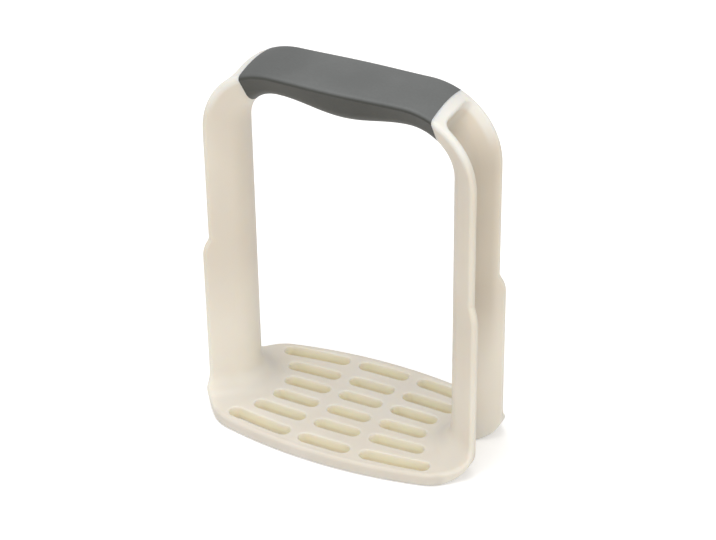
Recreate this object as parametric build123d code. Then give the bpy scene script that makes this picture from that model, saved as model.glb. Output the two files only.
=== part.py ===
from build123d import *
import os
from math import acos, atan2, cos, degrees, hypot, pi, radians, sin, sqrt, tan

# Potato masher: a moulded frame (slotted plate, two channel legs, shoulders and the bar
# under the hand), a hard insert in that bar and a soft grip skin round both.
# X runs along the grip, Y from front to back, Z up. The origin is on the floor, under
# the middle of the plate. Lengths are in millimetres and slants in radians.

# Hoop: outer rims of the legs and the arc that turns them into the grip
half_width = 64.8
rim_step = 3.0
step_height = 82.8
step_rise = 13.0
shoulder_radius = 32.0
shoulder_height = 138.5
foot_radius = 11.5
foot_break = radians(8.0)    # angle at which the foot's curve meets the rims

# Section of the hoop: slanted sides round a full-round belly, crowned on the outside
hoop_depth = 13.6
belly_radius = 12.0
side_slant = radians(34.0)
crown = 2.0
ridge_round = 1.5
leg_wall = 3.2

# Mashing plate
plate_thickness = 6.2
plate_half_depth = 37.4
end_fall_share = 0.277       # of the half depth, by which the front edge falls back at the ends
corner_clearance = 0.25      # from the rims of the feet to the rounding of the corners
corner_spare = 0.4           # by which the corners are rounder than the plate's edge
front_round_share = 2.08     # of the room from the corner's start to the front edge
foot_blend_share = 0.85      # of the room from the legs' rims to the front edge
plate_edge_round = 1.6
sole_edge_round = 1.2

# Slots of the plate: three columns in six rows, in mirrored pairs of rows
slot_width = 6.4
slot_bridge = 5.0
slot_edge_round = 0.7
row_place_shares = (0.156, 0.462, 0.798)      # of the plate's half depth
row_middle_shares = (0.160, 0.168, 0.188)     # half length of the middle slot, of half_width
row_bow_shares = (0.12, 0.32, 0.745)          # of the curvature of the plate's front edge
row_foot_gaps = (1.6, 3.0)                  # from the side slots of two rows to the foot blend
corner_gap = 2.6                              # from the side slots of the last row to the corners

# Grip
seam_angle = radians(65.05)  # how far round the shoulder the seam crosses the rim line
seam_tilt = radians(1.5)
skin = 2.2
belly_drop = 3.6             # how far the grip swells down in the middle
side_swell = 0.5             # how far each of its sides swells out there
bar_wall = 2.6
insert_clearance = 0.1
lip_width = 4.4              # bulkhead of the frame outside each seam
pocket_round = 4.0
mouth_round = 1.0

overrun = 30.0
touch = 0.01

# Places that follow from the sizes above
rim_x = half_width - rim_step
shoulder_x = rim_x - shoulder_radius
belly_ring = shoulder_radius - hoop_depth + belly_radius
belly_x = shoulder_x + belly_ring
reach = shoulder_radius - belly_ring
far_x = half_width + overrun
half_depth = (belly_radius + reach * sin(side_slant)) / cos(side_slant)
bar_height = shoulder_height + belly_ring
step_top = step_height + step_rise / 2
seam_x = shoulder_x + shoulder_radius * cos(seam_angle)
pocket_angle = seam_angle - lip_width / shoulder_radius
end_fall = end_fall_share * plate_half_depth
plate_front_radius = (half_width**2 + end_fall**2) / (2 * end_fall)
edge_depth = plate_half_depth - end_fall
foot_blend = foot_blend_share * (edge_depth - half_depth)
foot_half_depth = (belly_radius + (half_width - belly_x) * sin(side_slant)) / cos(side_slant)
corner_start = foot_half_depth + corner_clearance
corner_round = plate_edge_round + corner_spare
front_round = front_round_share * (edge_depth - corner_start)
corner_cut = half_width + corner_start + corner_round * tan(pi / 8)


def mirrored_pair(shape):
    """The shape and its mirror image on the other side of the middle."""
    return shape + mirror(shape, about=Plane.YZ)


def plain_section(outward, inset=0.0):
    """Hoop section as a face in (outward, y) about the belly's centre, its outside left flat."""
    radius = belly_radius - inset
    half = (radius + outward * sin(side_slant)) / cos(side_slant)
    near = -radius * sin(side_slant)
    side = radius * cos(side_slant)
    outline = [
        Line((outward, -half), (near, -side)),
        ThreePointArc((near, -side), (-radius, 0), (near, side)),
        Line((near, side), (outward, half)),
        Line((outward, half), (outward, -half)),
    ]
    return Face(Wire(outline))


def crowned_outline(drop, inset):
    """Hoop section with a crowned outside, as (outward, y) points and a closed face."""
    radius = belly_radius - inset
    depth = reach + drop
    wide = half_depth + side_swell * drop / belly_drop
    slant = acos(belly_radius / hypot(wide, depth)) - atan2(depth, wide)
    near = -radius * sin(slant) - drop
    side = radius * cos(slant)
    crown_radius = (wide**2 + crown**2) / (2 * crown)
    centre = reach + crown - crown_radius
    along = (near - centre) * cos(slant) + side * sin(slant)
    over = (near - centre) ** 2 + side**2 - (crown_radius - inset) ** 2
    length = sqrt(along**2 - over) - along
    ridge = near + length * cos(slant)
    half = side + length * sin(slant)
    top = reach + crown - inset
    outline = [
        Line((ridge, -half), (near, -side)),
        ThreePointArc((near, -side), (-radius - drop, 0), (near, side)),
        Line((near, side), (ridge, half)),
        ThreePointArc((ridge, half), (top, 0), (ridge, -half)),
    ]
    return Face(Wire(outline))


def crowned_section(drop=0.0):
    """Outer section of the grip with rounded ridges, its belly lowered by drop."""
    face = crowned_outline(drop, 0)
    side = belly_radius
    ridges = [corner for corner in face.vertices() if corner.X > 0 and abs(corner.Y) > side]
    return face.fillet_2d(ridge_round, ridges)


def inset_section(drop=0.0):
    """Section of the bar that carries the grip skin."""
    return crowned_outline(drop, skin)


def in_leg(face, height):
    """Carries a section to a level cut through the right leg."""
    return Plane(origin=(belly_x, 0, height), x_dir=(1, 0, 0), z_dir=(0, 0, 1)) * face


def in_bar(face, x):
    """Carries a section to an upright cut through the bar."""
    return Plane(origin=(x, 0, bar_height), x_dir=(0, 0, 1), z_dir=(1, 0, 0)) * face


def turned_shoulder(face, angle):
    """Turns a section of the right leg about the shoulder's centre."""
    axis = Axis((shoulder_x, 0, shoulder_height), (0, -1, 0))
    return revolve(in_leg(face, shoulder_height), axis=axis, revolution_arc=angle)


def lies(edge, test):
    """True where both ends and the middle of an edge pass a test."""
    return all(test(edge @ share) for share in (0.0, 0.5, 1.0))


def legs_on_slab():
    """Both lower legs and an oversize plate, with the concave blend between them."""
    leg = extrude(in_leg(plain_section(far_x - belly_x), 0), step_top, dir=(0, 0, 1))
    slab_depth = 2 * (plate_half_depth + overrun)
    slab = Box(2 * far_x, slab_depth, plate_thickness, align=(Align.CENTER, Align.CENTER, Align.MIN))
    body = slab + mirrored_pair(leg)

    def on_top(point):
        return abs(point.Z - plate_thickness) < touch

    def inside(point):
        return abs(point.Y) < plate_half_depth and abs(point.X) < far_x - touch

    joints = [edge for edge in body.edges() if lies(edge, on_top) and inside(edge @ 0.5)]
    return fillet(joints, foot_blend)


def plate_outline():
    """Plan of the part: two wide arcs, straight ends and slanted, rounded corners."""
    offset = plate_front_radius - plate_half_depth
    outline = Pos(0, offset) * Circle(plate_front_radius)
    outline = outline & (Pos(0, -offset) * Circle(plate_front_radius))
    outline = outline & Rectangle(2 * half_width, 4 * plate_half_depth)
    side = sqrt(2) * corner_cut
    outline = outline & (Rot(0, 0, 45) * Rectangle(side, side))
    inner = [corner for corner in outline.vertices() if abs(corner.X) < half_width - touch]
    outline = fillet(inner, front_round)
    outer = [corner for corner in outline.vertices() if abs(corner.X) > half_width - touch]
    return fillet(outer, corner_round)


def stepped_outline():
    """Half of the part seen from the front, with the step in the rim."""
    turn = 2 * atan2(rim_step, step_rise)
    bend = step_rise / (2 * sin(turn))
    low_z = step_height - step_rise / 2

    def low(angle):
        return (half_width - bend + bend * cos(angle), 0, low_z + bend * sin(angle))

    def high(angle):
        return (rim_x + bend - bend * cos(angle), 0, step_top - bend * sin(angle))

    outline = [
        Line((0, 0, 0), (half_width, 0, 0)),
        Line((half_width, 0, 0), low(0)),
        ThreePointArc(low(0), low(turn / 2), low(turn)),
        ThreePointArc(high(turn), high(turn / 2), high(0)),
        Line(high(0), (0, 0, step_top)),
        Line((0, 0, step_top), (0, 0, 0)),
    ]
    return Face(Wire(outline))


def foot_corner():
    """Corner that the rounded foot leaves free, seen from the front."""
    centre = half_width - foot_radius * cos(foot_break)

    def rise(angle):
        return (centre + foot_radius * cos(angle), 0, foot_radius - foot_radius * sin(angle))

    start = (centre, 0, 0)
    end = rise(foot_break)
    outline = [
        ThreePointArc(start, rise((foot_break + pi / 2) / 2), end),
        Line(end, (far_x, 0, end[2])),
        Line((far_x, 0, end[2]), (far_x, 0, 0)),
        Line((far_x, 0, 0), start),
    ]
    return Face(Wire(outline))


def through(face):
    """A face of the front view as a block right through the part from front to back."""
    return extrude(face, plate_half_depth + overrun, dir=(0, 1, 0), both=True)


def lower_body():
    """Plate and lower legs, cut to their outlines, with rounded rims and sole."""
    plan = plate_outline()
    stepped = stepped_outline()
    body = legs_on_slab() & extrude(plan, step_top, dir=(0, 0, 1))
    body = body & mirrored_pair(through(stepped))
    plan_wire = plan.wires()[0]
    step_wire = stepped.wires()[0]

    def on_rim(point):
        over = point.Z > plate_thickness - touch
        in_plan = plan_wire.distance_to(Vector(point.X, point.Y, 0)) < touch
        in_step = step_wire.distance_to(Vector(abs(point.X), 0, point.Z)) < touch
        return over and (in_plan or in_step and abs(point.X) > rim_x - touch)

    rims = [edge for edge in body.edges() if lies(edge, on_rim) and abs((edge @ 0.5).Y) > touch]
    body = fillet(rims, plate_edge_round)
    corner = foot_corner()
    foot_wire = corner.wires()[0]
    body = body - mirrored_pair(through(corner))

    def on_sole(point):
        flat = abs(point.Z) < touch
        place = Vector(abs(point.X), 0, point.Z)
        rounded = foot_wire.distance_to(place) < touch and point.Z < foot_radius
        return flat or rounded and abs(point.X) < half_width + touch

    def outside(point):
        return abs(point.Y) > touch or point.Z > touch

    soles = [edge for edge in body.edges() if lies(edge, on_sole) and outside(edge @ 0.5)]
    return fillet(soles, sole_edge_round)


def hoop(leg_section, bar_section):
    """Upper legs, shoulders and the bar across the top."""
    leg = extrude(in_leg(leg_section, step_height), shoulder_height - step_height, dir=(0, 0, 1))
    shoulder = turned_shoulder(leg_section, 90)
    return mirrored_pair(leg + shoulder) + swollen_bar(bar_section)


def swollen_bar(section):
    """Straight stretch of the grip, lofted through sections whose belly swells mid-way."""
    shares = [place / 4 for place in range(-4, 5)]
    faces = []
    for share in shares:
        drop = belly_drop * (1 + cos(pi * share)) / 2
        faces.append(in_bar(section(drop), shoulder_x * share))
    return loft(faces)


def channel():
    """Cutter for the channel of the right leg, open to the outside and closed at the lip."""
    section = plain_section(far_x - belly_x, leg_wall)
    leg = extrude(in_leg(section, -overrun), shoulder_height + overrun, dir=(0, 0, 1))
    shoulder = turned_shoulder(section, degrees(pocket_angle))
    end = Vector(cos(pocket_angle), 0, sin(pocket_angle))
    across = Vector(-sin(pocket_angle), 0, cos(pocket_angle))
    centre = Vector(shoulder_x, 0, shoulder_height)

    def in_end(point):
        return abs((point - centre).dot(across)) < touch

    def inner(point):
        return (point - centre).dot(end) < far_x - shoulder_x - touch

    rounded = [edge for edge in shoulder.edges() if lies(edge, in_end) and inner(edge @ 0.5)]
    return leg + fillet(rounded, pocket_round)


def grip_zone():
    """Block between the two seams."""
    rim_z = shoulder_height + sqrt(shoulder_radius**2 - (seam_x - shoulder_x)**2)
    lean = tan(seam_tilt) * overrun
    high = (seam_x + lean, rim_z + overrun)
    low = (seam_x - lean, rim_z - overrun)
    outline = Polyline(
        (-low[0], 0, low[1]),
        (low[0], 0, low[1]),
        (high[0], 0, high[1]),
        (-high[0], 0, high[1]),
        close=True,
    )
    return through(Face(Wire(outline.edges())))


def slot(inner, outer, place, bow):
    """One round-ended slot along a gently bowed row, as a cutter through the plate."""
    half = slot_width / 2

    def edge_point(x, side):
        slope = -x * bow
        length = hypot(1, slope)
        return (x - slope / length * side, place - bow * x * x / 2 + side / length)

    def tip(x, way):
        slope = -x * bow
        length = hypot(1, slope)
        return (x + way * half / length, place - bow * x * x / 2 + way * slope * half / length)

    start = inner + half
    end = outer - half
    middle = (start + end) / 2
    outline = [
        ThreePointArc(edge_point(start, half), edge_point(middle, half), edge_point(end, half)),
        ThreePointArc(edge_point(end, half), tip(end, 1), edge_point(end, -half)),
        ThreePointArc(edge_point(end, -half), edge_point(middle, -half), edge_point(start, -half)),
        ThreePointArc(edge_point(start, -half), tip(start, -1), edge_point(start, half)),
    ]
    return extrude(Face(Wire(outline)), plate_thickness, dir=(0, 0, 1))


def row_ends(places):
    """Far ends of the side slots: by the foot blend in two rows, by the corner in the last."""
    half = slot_width / 2
    ends = []
    for place, gap in zip(places, row_foot_gaps):
        free = belly_radius + foot_blend + gap + half
        ends.append(belly_x - sqrt(free**2 - place**2) + half)
    ends.append(corner_cut - places[-1] - sqrt(2) * (corner_gap + half) + half)
    return ends


def slots():
    """Every slot of the plate."""
    cutters = []
    places = [share * plate_half_depth for share in row_place_shares]
    rows = zip(places, row_middle_shares, row_ends(places), row_bow_shares)
    for place, middle_share, end, bow_share in rows:
        middle = middle_share * half_width
        bow = bow_share / plate_front_radius
        centre = slot(-middle, middle, place, bow)
        side = slot(middle + slot_bridge, end, place, bow)
        row = [centre, side, mirror(side, about=Plane.YZ)]
        cutters += row + [mirror(cutter, about=Plane.XZ) for cutter in row]
    return cutters


def on_slot(outlines, point):
    """True for a point over the outline of a slot, at the plate's top or above it."""
    place = Vector(point.X, point.Y, 0)
    return point.Z > plate_thickness - touch and any(wire.distance_to(place) < touch for wire in outlines)


def slotted(body):
    """The body with every slot cut and the upper edges of the slots rounded."""
    cutters = slots()
    outlines = [cutter.faces().sort_by(Axis.Z)[0].outer_wire() for cutter in cutters]
    for cutter in cutters:
        body = body - cutter
    near = [edge for edge in body.edges() if abs((edge @ 0.5).Z - plate_thickness) < touch]
    upper = [edge for edge in near if lies(edge, lambda point: on_slot(outlines, point))]
    return fillet(upper, slot_edge_round)


def outward(point):
    """Distance of a point outside the belly's centre line."""
    if point.Z > shoulder_height:
        return hypot(abs(point.X) - shoulder_x, point.Z - shoulder_height) - belly_ring
    return abs(point.X) - belly_x


def in_mouth(point):
    """True for a point on the outer edge of a channel."""
    out = outward(point)
    wall = (belly_radius - leg_wall + out * sin(side_slant)) / cos(side_slant)
    return out > reach - mouth_round / 2 and abs(point.Y) < wall + touch


def outer_frame():
    """Frame with its channels, before the grip is let into it."""
    body = lower_body() + hoop(crowned_section(), crowned_section)
    body = body - mirrored_pair(channel())
    mouths = [edge for edge in body.edges() if lies(edge, in_mouth)]
    return slotted(fillet(mouths, mouth_round))


def insert_bed(inset, length):
    """Straight block in the bar, open to the outside, for the insert or the room for it."""
    section = plain_section(reach + overrun, inset)
    return extrude(in_bar(section, -length), 2 * length, dir=(1, 0, 0))


def make_parts():
    """The frame, the insert and the skin as separate solids."""
    bar = hoop(inset_section(), inset_section)
    grip = hoop(crowned_section(), crowned_section) & grip_zone()
    grip_skin = grip - bar
    room = insert_bed(skin + bar_wall, shoulder_x)
    masher_frame = outer_frame() - grip_skin - room
    inset = skin + bar_wall + insert_clearance
    grip_core = insert_bed(inset, shoulder_x - insert_clearance) & swollen_bar(inset_section)
    return {"masher_frame": masher_frame, "grip_core": grip_core, "grip_skin": grip_skin}


os.makedirs("parts", exist_ok=True)
for name, shape in make_parts().items():
    export_step(shape.solids()[0], f"parts/{name}.step")
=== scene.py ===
"""Looks of the potato masher: finishes, floor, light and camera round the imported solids."""

import logging
import math
from dataclasses import dataclass
from enum import Enum
from functools import cached_property
from typing import Any

import bpy
import numpy as np
from mathutils import Matrix, Vector


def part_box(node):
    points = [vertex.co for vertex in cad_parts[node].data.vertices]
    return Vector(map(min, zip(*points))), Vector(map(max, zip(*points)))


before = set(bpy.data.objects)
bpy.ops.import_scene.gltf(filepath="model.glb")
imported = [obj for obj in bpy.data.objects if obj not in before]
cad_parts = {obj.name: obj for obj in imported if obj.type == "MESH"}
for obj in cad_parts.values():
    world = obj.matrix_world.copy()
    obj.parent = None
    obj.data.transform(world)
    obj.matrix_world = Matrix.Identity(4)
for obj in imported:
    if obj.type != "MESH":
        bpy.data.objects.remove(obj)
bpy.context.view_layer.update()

log = logging.getLogger("masher")

Colour = tuple[float, float, float]
Point = tuple[float, float, float]
Span = tuple[float, float]
Tones = tuple[Colour, Colour]

MM_PER_M = 1000.0
WHITE = (1.0, 1.0, 1.0, 1.0)
NOISE_MIDDLE = 0.5

# The curve of a screen: straight up to the knee, and a power of the colour above it.
CURVE_KNEE = 0.04045
CURVE_SLOPE = 12.92
CURVE_LIFT = 0.055
CURVE_POWER = 2.4

# The sockets of a Mix node that mixes colours, by number.
MIX_SHARE = 0
MIX_FIRST = 6
MIX_SECOND = 7
MIX_RESULT = 2

# Places on the masher, in metres.
PLATE_TOP = 0.0062
PLATE_HALF_DEPTH = 0.0374
PLATE_RADIUS = 0.20784
LEG_AXIS = 0.0602
SHOULDER_X = 0.0298
SHOULDER_Z = 0.1385
LAMP_AIM = (0.0, 0.0, 0.08)


def linear(colour: Colour) -> tuple[float, float, float, float]:
    """Turns a colour as it looks on a screen into the linear one that a shader takes.

    Each channel c becomes ((c + lift) / (1 + lift)) to the curve's power, or c over the curve's
    slope below the knee.

    Args:
        colour: red, green and blue, each from 0 to 1, as seen.

    Returns:
        The same colour in linear light, with an alpha of 1.
    """
    seen = np.array(colour)
    curved = ((seen + CURVE_LIFT) / (1.0 + CURVE_LIFT)) ** CURVE_POWER
    light = np.where(seen > CURVE_KNEE, curved, seen / CURVE_SLOPE)
    return (float(light[0]), float(light[1]), float(light[2]), 1.0)


@dataclass(frozen=True)
class Pattern:
    """One layer of cloudy noise.

    Attributes:
        scale: waves per metre.
        detail: how many finer layers are added.
        stretch: factors on the three coordinates before the noise is read.
        depth: the height of the relief that it gives, in metres.
    """

    scale: float
    detail: float
    stretch: Point = (1.0, 1.0, 1.0)
    depth: float = 0.0


class Wire:
    """A number that a node gives. Arithmetic on it adds the Math nodes that do it."""

    def __init__(self, bench: "Bench", socket: bpy.types.NodeSocket) -> None:
        """Keeps what the wire is made of.

        Args:
            bench: the bench that the nodes are added on.
            socket: the socket that is read.
        """
        self.bench = bench
        self.socket = socket

    def maths(self, operation: str, *values: Any, clamp: bool = False) -> "Wire":
        """Adds one Math node.

        Args:
            operation: the Math node's operation.
            values: the numbers or wires that go in, in order.
            clamp: whether the result is held between 0 and 1.

        Returns:
            The node's result.
        """
        settings = {"operation": operation, "use_clamp": clamp}
        node = self.bench.add("ShaderNodeMath", settings, dict(enumerate(values)))
        return Wire(self.bench, node.outputs[0])

    def __add__(self, other: Any) -> "Wire":
        """The wire plus a number or wire."""
        return self.maths("ADD", self, other)

    def __radd__(self, other: Any) -> "Wire":
        """A number plus the wire."""
        return self.maths("ADD", other, self)

    def __sub__(self, other: Any) -> "Wire":
        """The wire less a number or wire."""
        return self.maths("SUBTRACT", self, other)

    def __rsub__(self, other: Any) -> "Wire":
        """A number less the wire."""
        return self.maths("SUBTRACT", other, self)

    def __mul__(self, other: Any) -> "Wire":
        """The wire times a number or wire."""
        return self.maths("MULTIPLY", self, other)

    def __rmul__(self, other: Any) -> "Wire":
        """A number times the wire."""
        return self.maths("MULTIPLY", other, self)

    def __abs__(self) -> "Wire":
        """The wire without its sign."""
        return self.maths("ABSOLUTE", self)

    def root(self) -> "Wire":
        """The square root of the wire."""
        return self.maths("SQRT", self)

    def most(self, other: Any) -> "Wire":
        """The greater of the wire and a number or wire."""
        return self.maths("MAXIMUM", self, other)

    def ease(self, span: Span) -> "Wire":
        """Goes smoothly from 0 at the span's first value to 1 at its second.

        With t the clamped share of the way, the result is t * t * (3 - 2 * t). The second value
        may be the lower one.

        Args:
            span: the values at which the result is 0 and 1.

        Returns:
            The eased share.
        """
        start, end = span
        share = self.maths("DIVIDE", self - start, end - start, clamp=True)
        return share * share * (3.0 - 2.0 * share)


class Bench:
    """The node tree of one material or world, and the one method that adds any node to it."""

    def __init__(self, owner: bpy.types.Material | bpy.types.World) -> None:
        """Starts with no nodes.

        Args:
            owner: the new material or world that the nodes are for.
        """
        self.owner = owner
        owner.use_nodes = True
        self.tree = owner.node_tree
        self.tree.nodes.clear()

    def add(
        self,
        kind: str,
        settings: dict[str, Any] | None = None,
        sockets: dict[Any, Any] | None = None,
    ) -> bpy.types.Node:
        """Adds a node, sets its settings, and then fills its sockets.

        Args:
            kind: the node's type.
            settings: the node's own settings by name.
            sockets: a value, wire or output socket for each input, by name or number.

        Returns:
            The node.
        """
        node = self.tree.nodes.new(kind)
        for name, value in (settings or {}).items():
            setattr(node, name, value)
        for name, value in (sockets or {}).items():
            self.feed(node.inputs[name], value)
        return node

    def feed(self, socket: bpy.types.NodeSocket, value: Any) -> None:
        """Fills one input.

        Args:
            socket: the input.
            value: a wire or an output socket to link it to, or a fixed value.
        """
        if isinstance(value, Wire):
            self.tree.links.new(value.socket, socket)
        elif isinstance(value, bpy.types.NodeSocket):
            self.tree.links.new(value, socket)
        else:
            socket.default_value = value

    def parts(self, vector: bpy.types.NodeSocket) -> tuple[Wire, Wire, Wire]:
        """Splits a vector into its three numbers.

        Args:
            vector: the socket that gives it.

        Returns:
            Its x, y and z.
        """
        split = self.add("ShaderNodeSeparateXYZ", None, {"Vector": vector})
        across, along, height = (Wire(self, output) for output in split.outputs)
        return across, along, height

    @cached_property
    def place(self) -> bpy.types.NodeSocket:
        """The point on the object in metres."""
        return self.add("ShaderNodeTexCoord").outputs["Object"]

    @cached_property
    def spot(self) -> tuple[Wire, Wire, Wire]:
        """The same point as three numbers: x along the grip, y to the back, z up."""
        return self.parts(self.place)

    @cached_property
    def facing(self) -> tuple[Wire, Wire, Wire]:
        """The surface's outward direction as three numbers."""
        return self.parts(self.add("ShaderNodeNewGeometry").outputs["Normal"])

    def noise(self, pattern: Pattern) -> Wire:
        """Cloudy noise from 0 to 1, centred on NOISE_MIDDLE.

        Args:
            pattern: the noise's waves, finer layers and stretch.

        Returns:
            The noise.
        """
        sockets = {"Vector": self.place, "Scale": pattern.stretch}
        spread = self.add("ShaderNodeMapping", None, sockets)
        sockets = {"Vector": spread.outputs[0], "Scale": pattern.scale, "Detail": pattern.detail}
        return Wire(self, self.add("ShaderNodeTexNoise", None, sockets).outputs["Fac"])

    def cells(self, scale: float) -> Wire:
        """The distance from the middle of the nearest of many small cells.

        Args:
            scale: cells per metre.

        Returns:
            The distance, as a share of a cell.
        """
        sockets = {"Vector": self.place, "Scale": scale}
        return Wire(self, self.add("ShaderNodeTexVoronoi", None, sockets).outputs["Distance"])

    def inward(self) -> Wire:
        """How far a point lies within the plate's wide front or back edge, in metres.

        That edge is an arc of PLATE_RADIUS about a centre on the other side of the middle, so
        the distance is root(radius * radius - x * x) - (radius - half depth) - |y|.

        Returns:
            The distance, below zero outside the edge.
        """
        across, along, _ = self.spot
        arc = (PLATE_RADIUS**2 - across * across).root()
        return arc - (PLATE_RADIUS - PLATE_HALF_DEPTH) - abs(along)

    def apart(self, first: Wire, second: Wire) -> Wire:
        """The length of the level step that two lengths at a right angle make.

        Args:
            first: one length.
            second: the length at a right angle to it.

        Returns:
            root(first * first + second * second).
        """
        return (first * first + second * second).root()

    def tint(self, share: Wire, first: Any, second: Any) -> bpy.types.NodeSocket:
        """Goes from a first colour at share 0 to a second at share 1.

        Args:
            share: how far towards the second colour.
            first: a linear colour or a colour socket.
            second: a linear colour or a colour socket.

        Returns:
            The mixed colour.
        """
        sockets = {MIX_SHARE: share, MIX_FIRST: first, MIX_SECOND: second}
        return self.add("ShaderNodeMix", {"data_type": "RGBA"}, sockets).outputs[MIX_RESULT]

    def mottle(self, tone: Wire, tones: Tones) -> bpy.types.NodeSocket:
        """Wanders between two tones of one colour.

        Args:
            tone: how far towards the second tone.
            tones: both tones, as seen.

        Returns:
            The mottled colour.
        """
        first, second = tones
        return self.tint(tone, linear(first), linear(second))

    def relief(self, height: Wire, depth: float, under: Any = None) -> bpy.types.NodeSocket:
        """Bends the shading as if the surface rose by height times depth.

        Args:
            height: the rise, from 0 to 1.
            depth: the greatest rise in metres.
            under: the bent direction of a relief below this one, if there is one.

        Returns:
            The bent direction.
        """
        sockets = {"Height": height, "Distance": depth, "Strength": 1.0}
        if under is not None:
            sockets["Normal"] = under
        return self.add("ShaderNodeBump", None, sockets).outputs[0]

    def grain(self, pattern: Pattern, under: Any = None) -> bpy.types.NodeSocket:
        """The relief that a pattern of noise gives.

        Args:
            pattern: the noise and its depth.
            under: the bent direction of a relief below this one, if there is one.

        Returns:
            The bent direction.
        """
        return self.relief(self.noise(pattern), pattern.depth, under)

    def surface(self, sockets: dict[str, Any]) -> bpy.types.Material:
        """Ends a material with the Principled shader.

        Args:
            sockets: what goes into the shader, by name.

        Returns:
            The material.
        """
        return self.close(self.add("ShaderNodeBsdfPrincipled", None, sockets).outputs[0])

    def close(self, shader: bpy.types.NodeSocket) -> bpy.types.Material:
        """Joins a shader to the material's output.

        Args:
            shader: the shader's socket.

        Returns:
            The material.
        """
        self.add("ShaderNodeOutputMaterial", None, {"Surface": shader})
        return self.owner


@dataclass(frozen=True)
class CreamPlastic:
    """Warm white moulded plastic with a satin skin that lets a little light through.

    The leg's Tones are the plastic's own colour; each other Tones value is painted light or
    shade on one region, and the Span values say where it begins and ends: heights, insets and
    distances in metres, and shares of a direction.
    """

    leg: Tones = ((0.890, 0.862, 0.808), (0.864, 0.830, 0.770))
    # Painted bounce light: the legs paler towards the bottom, near the floor.
    low_leg_bounce_light: Tones = ((0.915, 0.893, 0.848), (0.898, 0.870, 0.820))
    low_leg_height: Span = (0.085, 0.030)

    # Painted shade: the floor of each leg's channel darker, as in a recess.
    channel: Tones = ((0.840, 0.806, 0.742), (0.815, 0.776, 0.708))
    channel_facing: Span = (0.010, 0.035)
    channel_height: Span = (0.160, 0.135)
    channel_width: Span = (0.0124, 0.0100)

    # Painted highlight: the lips round the shoulder pockets paler.
    lip_highlight: Tones = ((0.925, 0.914, 0.888), (0.905, 0.892, 0.862))
    lip_height: Span = (0.144, 0.158)
    lip_reach: Span = (0.0285, 0.0303)

    # Painted light: the plate's upward-facing top paler than the rest of the moulding.
    plate: Tones = ((0.896, 0.872, 0.828), (0.878, 0.850, 0.800))
    plate_height: Span = (PLATE_TOP + 0.008, PLATE_TOP + 0.001)
    plate_facing: Span = (0.5, 0.95)

    # Painted shade: the plate's rounded outer edge darker.
    edge: Tones = ((0.868, 0.842, 0.800), (0.850, 0.820, 0.772))
    edge_height: Span = (PLATE_TOP + 0.0012, PLATE_TOP + 0.0002)
    edge_inset: Span = (0.0032, 0.0012)

    # Painted light through the plastic on the slot walls, and painted warm shade along their
    # foot.
    slot_wall_painted_light: Tones = ((0.965, 0.936, 0.880), (0.990, 0.955, 0.865))
    slot_wall_height: Span = (PLATE_TOP - 0.0008, PLATE_TOP - 0.0034)
    slot_foot_painted_shade: Colour = (0.975, 0.920, 0.800)
    slot_foot_height: Span = (0.0025, 0.0015)
    slot_upright: Span = (0.35, 0.8)
    slot_inset: Span = (0.0021, 0.0034)
    slot_height: Span = (PLATE_TOP, PLATE_TOP - 0.0012)
    slot_ends: Span = (0.0535, 0.0515)
    slot_from_leg: Span = (0.0140, 0.0180)

    clouds: Pattern = Pattern(17.0, 3.0)
    flow: Pattern = Pattern(42.0, 2.0, (1.0, 1.0, 0.16))
    cloud_share: float = 0.65
    tone_span: Span = (0.36, 0.64)
    fine: Pattern = Pattern(2100.0, 1.0, depth=9.0e-6)
    ripple: Pattern = Pattern(110.0, 1.0, depth=2.2e-5)
    spots: Pattern = Pattern(68.0, 2.0)
    roughness: float = 0.40
    roughness_swing: float = 0.10
    refraction: float = 1.47
    glow: float = 0.60
    glow_reach: Point = (1.0, 0.82, 0.58)
    glow_scale: float = 0.0040

    def slot_share(self, bench: Bench) -> Wire:
        """How much a point belongs to a slot's upright wall in the plate.

        It is the product of five eased shares: upright, further in than the plate's wide edges,
        below its top, short of its narrow ends, and clear of the channels of the legs.

        Args:
            bench: the material's nodes.

        Returns:
            The share from 0 to 1.
        """
        across, along, height = bench.spot
        upright = (1.0 - abs(bench.facing[2])).ease(self.slot_upright)
        inside = bench.inward().ease(self.slot_inset)
        low = height.ease(self.slot_height)
        short_of_ends = abs(across).ease(self.slot_ends)
        from_leg = bench.apart(abs(across) - LEG_AXIS, along).ease(self.slot_from_leg)
        return upright * inside * low * short_of_ends * from_leg

    def slot_painted_light_and_shade(self, bench: Bench) -> bpy.types.NodeSocket:
        """Painted light and shade on a slot's wall: paler and yellower below its upper edge, as
        light through the plastic, and painted warm shade along its foot.

        Args:
            bench: the material's nodes.

        Returns:
            The colour.
        """
        height = bench.spot[2]
        wall = bench.mottle(height.ease(self.slot_wall_height), self.slot_wall_painted_light)
        return bench.tint(height.ease(self.slot_foot_height), wall, linear(self.slot_foot_painted_shade))

    def channel_shade_share(self, bench: Bench) -> Wire:
        """How much a point gets the painted shade on the floor of a leg's channel below the
        shoulder.

        Args:
            bench: the material's nodes.

        Returns:
            The share from 0 to 1.
        """
        across, along, height = bench.spot
        outward = (across * bench.facing[0]).ease(self.channel_facing)
        return outward * height.ease(self.channel_height) * abs(along).ease(self.channel_width)

    def lip_highlight_share(self, bench: Bench) -> Wire:
        """How much a point gets the painted highlight on the lips round a shoulder's pocket.

        The shoulder turns about the point (SHOULDER_X, SHOULDER_Z), seen from the front, and its
        lips lie furthest from that point.

        Args:
            bench: the material's nodes.

        Returns:
            The share from 0 to 1.
        """
        across, _, height = bench.spot
        reach = bench.apart(abs(across) - SHOULDER_X, height - SHOULDER_Z)
        return height.ease(self.lip_height) * reach.ease(self.lip_reach)

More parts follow.
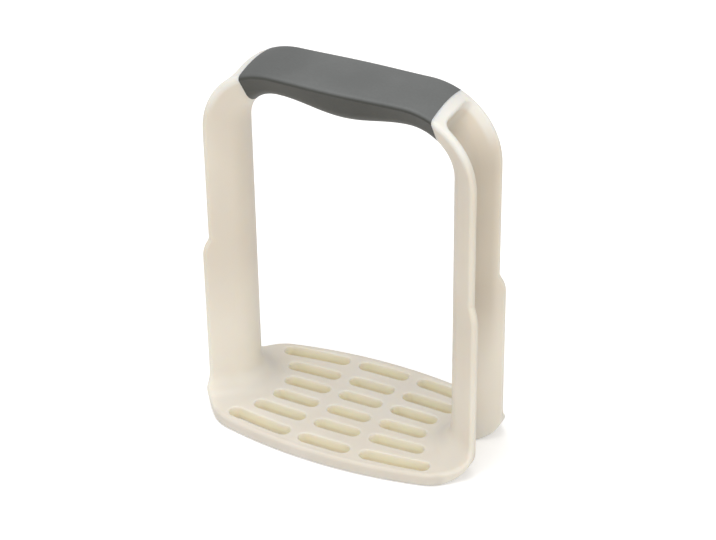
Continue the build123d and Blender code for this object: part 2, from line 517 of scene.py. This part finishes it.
    def edge_shade_share(self, bench: Bench) -> Wire:
        """How much a point gets the painted shade on the plate's rounded outer edge.

        Args:
            bench: the material's nodes.

        Returns:
            The share from 0 to 1.
        """
        return bench.spot[2].ease(self.edge_height) * bench.inward().ease(self.edge_inset)

    def lit_plate_top_share(self, bench: Bench) -> Wire:
        """How much a point gets the painted light on the flat, upward-facing top of the plate.

        Args:
            bench: the material's nodes.

        Returns:
            The share from 0 to 1.
        """
        return bench.spot[2].ease(self.plate_height) * bench.facing[2].ease(self.plate_facing)

    def colour(self, bench: Bench) -> bpy.types.NodeSocket:
        """The plastic's colour: the leg's own, with each other region's painted light or shade
        laid over it in turn.

        Args:
            bench: the material's nodes.

        Returns:
            The colour.
        """
        clouds = bench.noise(self.clouds) * self.cloud_share
        flow = bench.noise(self.flow) * (1.0 - self.cloud_share)
        tone = (clouds + flow).ease(self.tone_span)
        # Painted shade in the channels and on the plate's edge; painted light low on the legs,
        # on the lips and on the plate's top.
        painted_regions = (
            (self.channel_shade_share(bench), self.channel),
            (bench.spot[2].ease(self.low_leg_height), self.low_leg_bounce_light),
            (self.lip_highlight_share(bench), self.lip_highlight),
            (self.lit_plate_top_share(bench), self.plate),
            (self.edge_shade_share(bench), self.edge),
        )
        colour = bench.mottle(tone, self.leg)
        for share, tones in painted_regions:
            colour = bench.tint(share, colour, bench.mottle(tone, tones))
        # Painted light through the plastic on the slot walls, with painted shade at their foot.
        return bench.tint(self.slot_share(bench), colour, self.slot_painted_light_and_shade(bench))

    def material(self) -> bpy.types.Material:
        """Makes the material.

        Returns:
            The material.
        """
        bench = Bench(bpy.data.materials.new("cream_plastic"))
        swing = (bench.noise(self.spots) - NOISE_MIDDLE) * self.roughness_swing
        sockets = {
            "Base Color": self.colour(bench),
            "Roughness": self.roughness + swing,
            "Normal": bench.grain(self.fine, bench.grain(self.ripple)),
            "IOR": self.refraction,
            "Subsurface Weight": self.glow,
            "Subsurface Radius": self.glow_reach,
            "Subsurface Scale": self.glow_scale,
        }
        return bench.surface(sockets)


@dataclass(frozen=True)
class SoftTouchRubber:
    """Mid grey rubber with a fine matt grain; painted light pales its top, painted shade darkens
    its sides and its top's left end.
    """

    # Painted shade: the sides darker than the top.
    side: Tones = ((0.215, 0.216, 0.195), (0.245, 0.246, 0.225))
    # Painted light: the top paler, as lit from above.
    top: Tones = ((0.374, 0.381, 0.376), (0.404, 0.411, 0.406))
    top_facing: Span = (0.0, 0.75)
    # Painted shade: the top darker towards its left end.
    shaded_left_top: Tones = ((0.322, 0.329, 0.324), (0.350, 0.357, 0.352))
    left: Span = (-0.010, -0.040)
    clouds: Pattern = Pattern(38.0, 4.0)
    flecks: Pattern = Pattern(900.0, 1.0)
    cloud_share: float = 0.8
    tone_span: Span = (0.35, 0.66)
    fine: Pattern = Pattern(1500.0, 2.0, depth=1.6e-5)
    pore_scale: float = 900.0
    pore_depth: float = 1.0e-5
    roughness: float = 0.56
    roughness_swing: float = 0.12
    refraction: float = 1.46
    sheen: float = 0.12
    sheen_roughness: float = 0.5

    def material(self) -> bpy.types.Material:
        """Makes the material.

        Returns:
            The material.
        """
        bench = Bench(bpy.data.materials.new("soft_touch_rubber"))
        clouds = bench.noise(self.clouds)
        flecks = bench.noise(self.flecks) * (1.0 - self.cloud_share)
        tone = (clouds * self.cloud_share + flecks).ease(self.tone_span)
        top = bench.mottle(tone, self.top)
        top = bench.tint(bench.spot[0].ease(self.left), top, bench.mottle(tone, self.shaded_left_top))
        # Painted light and shade: the top's tones where the surface faces up, the side's
        # elsewhere.
        lit_top_share = bench.facing[2].ease(self.top_facing)
        pores = bench.relief(bench.cells(self.pore_scale), self.pore_depth)
        swing = (clouds - NOISE_MIDDLE) * self.roughness_swing
        sockets = {
            "Base Color": bench.tint(lit_top_share, bench.mottle(tone, self.side), top),
            "Roughness": self.roughness + swing,
            "Normal": bench.grain(self.fine, pores),
            "IOR": self.refraction,
            "Sheen Weight": self.sheen,
            "Sheen Roughness": self.sheen_roughness,
        }
        return bench.surface(sockets)


@dataclass(frozen=True)
class InsertPlastic:
    """Plain grey moulded plastic of the insert under the soft grip."""

    tones: Tones = ((0.62, 0.61, 0.59), (0.55, 0.54, 0.52))
    tone_span: Span = (0.35, 0.65)
    clouds: Pattern = Pattern(60.0, 3.0)
    fine: Pattern = Pattern(1200.0, 1.0, depth=1.2e-5)
    roughness: float = 0.5

    def material(self) -> bpy.types.Material:
        """Makes the material.

        Returns:
            The material.
        """
        bench = Bench(bpy.data.materials.new("insert_plastic"))
        tone = bench.noise(self.clouds).ease(self.tone_span)
        sockets = {
            "Base Color": bench.mottle(tone, self.tones),
            "Roughness": self.roughness,
            "Normal": bench.grain(self.fine),
        }
        return bench.surface(sockets)


class Finish(Enum):
    """The finishes that the masher's pieces may have, each with its slot in the record."""

    FRAME = ("frame_plastic", CreamPlastic())
    GRIP = ("grip_rubber", SoftTouchRubber())
    INSERT = ("core_plastic", InsertPlastic())

    def __init__(self, slot: str, look: Any) -> None:
        """Keeps what the finish is.

        Args:
            slot: the record's slot for it.
            look: the look that makes its material.
        """
        self.slot = slot
        self.look = look


def dress(piece: bpy.types.Object, finish: Finish) -> None:
    """Gives a piece its finish and logs its size and number of faces.

    Args:
        piece: the object that is dressed.
        finish: the finish that it gets.
    """
    material = finish.look.material()
    if piece.material_slots:
        for holder in piece.material_slots:
            holder.link = "OBJECT"
            holder.material = material
    else:
        piece.data.materials.append(material)
    low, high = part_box(piece.name)
    size = [round(MM_PER_M * side, 1) for side in high - low]
    faces = len(piece.data.polygons)
    log.info("%s: %s, %s mm, %d faces", piece.name, finish.name.lower(), size, faces)


@dataclass(frozen=True)
class MasherFrame:
    """The cream moulding: slotted plate, two channel legs, shoulders and bar."""

    node: str = "masher_frame"

    def build(self) -> None:
        """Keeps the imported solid, whose shape is right, and dresses it."""
        dress(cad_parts[self.node], Finish.FRAME)


@dataclass(frozen=True)
class Grip:
    """The soft grip round the bar, and the insert that it is bedded on."""

    skin: str = "grip_skin"
    core: str = "grip_core"

    def build(self) -> None:
        """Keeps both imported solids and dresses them."""
        dress(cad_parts[self.skin], Finish.GRIP)
        dress(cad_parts[self.core], Finish.INSERT)


@dataclass(frozen=True)
class Viewpoint:
    """Where the photograph was taken from."""

    turn: float = math.radians(27.06)
    height: float = math.radians(32.78)
    tilt: float = math.radians(-0.84)
    place: Point = (0.3701, -0.7193, 0.5987)
    focal_px: float = 2258.0
    frame_px: float = 716.0
    sensor_mm: float = 36.0
    nearest: float = 0.01
    furthest: float = 50.0

    def matrix(self) -> Matrix:
        """The camera's place and directions.

        Ahead is the level direction at turn, lowered by height, and right is level. Right and
        down are then both turned by tilt about the line of sight.

        Returns:
            The camera's matrix in the world.
        """
        level = math.cos(self.height)
        forward = math.cos(self.turn) * level
        ahead = np.array((-math.sin(self.turn) * level, forward, -math.sin(self.height)))
        right = np.array((math.cos(self.turn), math.sin(self.turn), 0.0))
        down = np.cross(ahead, right)
        across = math.cos(self.tilt) * right - math.sin(self.tilt) * down
        lower = math.sin(self.tilt) * right + math.cos(self.tilt) * down
        whole = np.eye(4)
        whole[:3, :3] = np.stack((across, -lower, -ahead), axis=1)
        whole[:3, 3] = self.place
        return Matrix(whole.tolist())

    def build(self) -> None:
        """Makes the camera and gives it to the scene."""
        camera = bpy.data.cameras.new("viewpoint")
        camera.sensor_fit = "HORIZONTAL"
        camera.sensor_width = self.sensor_mm
        camera.lens = self.focal_px / self.frame_px * self.sensor_mm
        camera.clip_start = self.nearest
        camera.clip_end = self.furthest
        holder = bpy.data.objects.new("viewpoint", camera)
        holder.matrix_world = self.matrix()
        bpy.context.scene.collection.objects.link(holder)
        bpy.context.scene.camera = holder
        log.info("viewpoint: lens %.1f mm at %s m", camera.lens, self.place)


@dataclass(frozen=True)
class SoftBox:
    """A large soft white lamp that looks at the masher.

    Attributes:
        name: the lamp's name.
        place: where it stands.
        side: the side of its square face in metres.
        watts: its power.
        aim: the point that it looks at.
    """

    name: str
    place: Point
    side: float
    watts: float
    aim: Point = LAMP_AIM

    def build(self) -> None:
        """Makes the lamp and turns its face to the point that it looks at."""
        lamp = bpy.data.lights.new(self.name, "AREA")
        lamp.shape = "SQUARE"
        lamp.size = self.side
        lamp.energy = self.watts
        holder = bpy.data.objects.new(self.name, lamp)
        holder.location = self.place
        sight = Vector(self.aim) - Vector(self.place)
        holder.rotation_mode = "QUATERNION"
        holder.rotation_quaternion = sight.to_track_quat("-Z", "Y")
        bpy.context.scene.collection.objects.link(holder)
        log.info("%s: %.1f W", self.name, self.watts)


@dataclass(frozen=True)
class Studio:
    """White floor, white surroundings and soft lamps.

    The floor's lift is a glow that only the eye sees. It stops short of the ground under the
    plate, between the spans plate_sides (in x) and plate_front (in from the wide edges).
    """

    floor_radius: float = 4.0
    floor_rings: int = 48
    floor_spokes: int = 96
    floor_drop: float = 0.00005
    floor_tones: Tones = ((0.93, 0.93, 0.93), (0.9207, 0.9207, 0.9207))
    floor_clouds: Pattern = Pattern(3.0, 2.0)
    floor_lift: float = 0.33
    # Painted warm light: the lift's tint shows as warmth in the floor's shadows.
    warm_shadow_lift_tint: tuple[float, float, float, float] = (1.0, 0.975, 0.940, 1.0)
    plate_sides: Span = (0.052, 0.055)
    plate_front: Span = (0.006, 0.004)
    surround: float = 0.50
    boxes: tuple[SoftBox, ...] = (
        SoftBox("top_box", (-0.25, -0.2, 2.2), 1.4, 28.0),
        SoftBox("front_box", (0.7, -1.9, 0.7), 1.2, 9.0),
        SoftBox("side_box", (1.7, -0.9, 1.1), 1.2, 5.0),
    )

    def floor_mesh(self) -> bpy.types.Mesh:
        """A round floor on a grid of rings and spokes.

        A point at ring share r and spoke angle a is (R r r cos a, R r r sin a, -drop), so the
        rings are closest together near the object.

        Returns:
            The floor's mesh.
        """
        rings = np.linspace(0.0, 1.0, self.floor_rings + 1)[1:] ** 2 * self.floor_radius
        angles = np.arange(self.floor_spokes) * (2.0 * math.pi / self.floor_spokes)
        flat = rings[:, None, None] * np.stack((np.cos(angles), np.sin(angles)), axis=-1)[None]
        level = np.full((*flat.shape[:2], 1), -self.floor_drop)
        points = np.concatenate((flat, level), axis=2).reshape(-1, 3)
        centre = np.array([[0.0, 0.0, -self.floor_drop]])
        inner = np.arange(self.floor_rings - 1)[:, None] * self.floor_spokes
        outer = inner + self.floor_spokes
        spoke = np.arange(self.floor_spokes)[None, :]
        after = (spoke + 1) % self.floor_spokes
        corners = (inner + spoke, outer + spoke, outer + after, inner + after)
        quads = np.stack(corners, axis=-1).reshape(-1, len(corners))
        hub = np.full(self.floor_spokes, len(points))
        fan = np.stack((hub, spoke[0], after[0]), axis=-1)
        mesh = bpy.data.meshes.new("floor")
        points = np.concatenate((points, centre))
        mesh.from_pydata(points.tolist(), [], quads.tolist() + fan.tolist())
        mesh.update()
        return mesh

    def seen(self, bench: Bench) -> Wire:
        """Tells what the eye sees, also through a clear piece, from other light.

        Args:
            bench: the nodes of the floor or the surroundings.

        Returns:
            One for what the eye sees, and zero for other light.
        """
        path = bench.add("ShaderNodeLightPath")
        straight = Wire(bench, path.outputs["Is Camera Ray"])
        return straight.most(Wire(bench, path.outputs["Is Transmission Ray"]))

    def floor_material(self) -> bpy.types.Material:
        """Makes white card that looks lit right up to white and keeps the object's shadow, with
        painted warm light from the lift's tint in that shadow.

        Returns:
            The material.
        """
        bench = Bench(bpy.data.materials.new("white_card"))
        tone = bench.mottle(bench.noise(self.floor_clouds), self.floor_tones)
        card = bench.add("ShaderNodeBsdfDiffuse", None, {"Color": tone}).outputs[0]
        beside = abs(bench.spot[0]).ease(self.plate_sides)
        clear = beside.most(bench.inward().ease(self.plate_front))
        sockets = {"Color": self.warm_shadow_lift_tint, "Strength": self.floor_lift}
        glow = bench.add("ShaderNodeEmission", None, sockets).outputs[0]
        lifted = bench.add("ShaderNodeAddShader", None, {0: card, 1: glow}).outputs[0]
        sockets = {0: self.seen(bench) * clear, 1: card, 2: lifted}
        return bench.close(bench.add("ShaderNodeMixShader", None, sockets).outputs[0])

    def surround_world(self) -> bpy.types.World:
        """Makes white surroundings: full white to the eye, and a plain level as light.

        Returns:
            The world.
        """
        bench = Bench(bpy.data.worlds.new("surround"))
        light, white = (
            bench.add("ShaderNodeBackground", None, {"Color": WHITE, "Strength": strength})
            for strength in (self.surround, 1.0)
        )
        sockets = {0: self.seen(bench), 1: light.outputs[0], 2: white.outputs[0]}
        both = bench.add("ShaderNodeMixShader", None, sockets)
        bench.add("ShaderNodeOutputWorld", None, {"Surface": both.outputs[0]})
        return bench.owner

    def build(self) -> None:
        """Makes the floor, the surroundings and the lamps."""
        floor = bpy.data.objects.new("floor", self.floor_mesh())
        floor.data.materials.append(self.floor_material())
        scene = bpy.context.scene
        scene.collection.objects.link(floor)
        scene.world = self.surround_world()
        for box in self.boxes:
            box.build()
        scene.view_settings.view_transform = "Standard"
        log.info("studio: floor of %.1f m, %d lamps", self.floor_radius, len(self.boxes))


def main() -> None:
    """Builds the masher's pieces and the studio round them, in order."""
    logging.basicConfig(level=logging.INFO, format="%(name)s: %(message)s")
    Viewpoint().build()
    MasherFrame().build()
    Grip().build()
    Studio().build()


if __name__ == "__main__":
    main()
